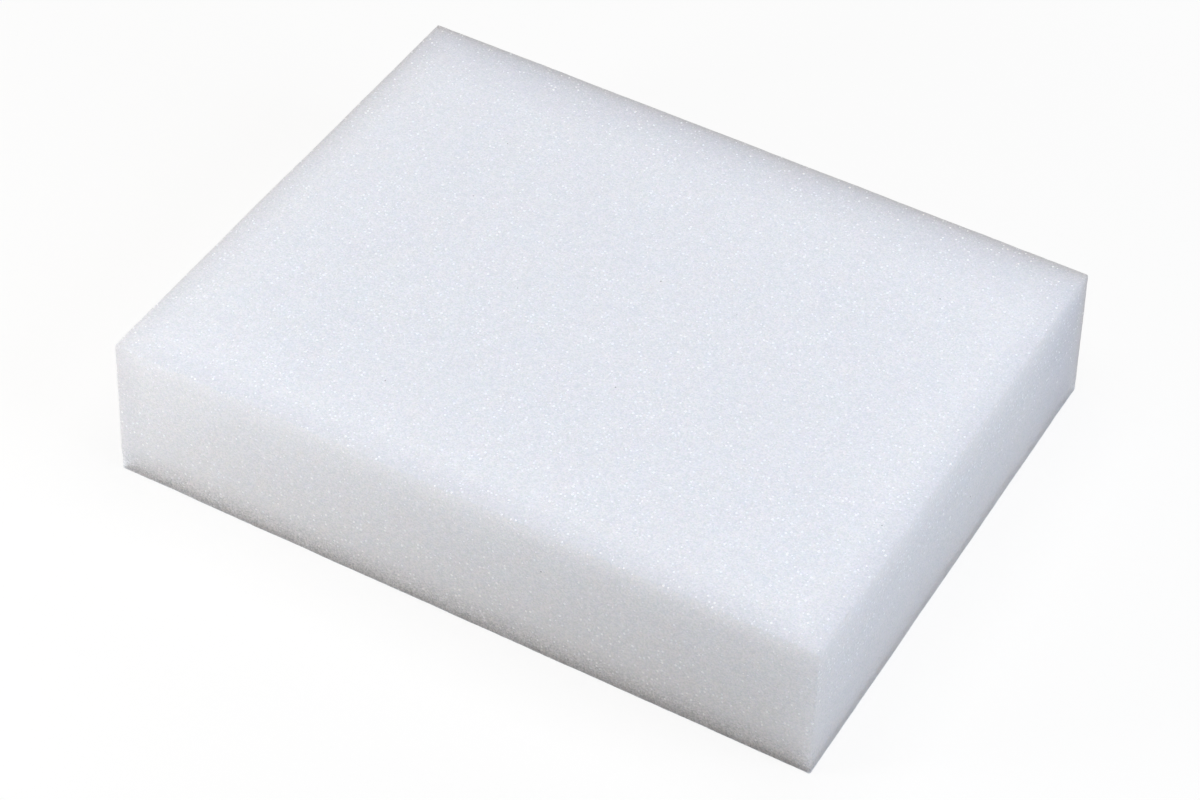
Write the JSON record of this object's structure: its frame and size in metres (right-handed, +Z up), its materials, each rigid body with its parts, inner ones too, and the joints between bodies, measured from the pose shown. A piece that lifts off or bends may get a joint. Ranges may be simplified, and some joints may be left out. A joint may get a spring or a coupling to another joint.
{
  "type": "grout sponge",
  "caption": "Flat rectangular block of fine white open-cell foam with square sawn faces and softly eased edges, for wiping grout haze and scuffs off tiles.",
  "frame": {"origin": "middle of the underside, the sawn face that the block rests on", "axes": "+X along the length, +Y across the width, +Z up through the thickness"},
  "size_m": [0.115, 0.089, 0.025],
  "materials": {
    "foam": "fine open-cell white foam, fully matt, with tiny bright glints where the cell walls catch the light"
  },
  "bodies": {
    "root": {"foam_block": "foam"}
  },
  "joints": []
}
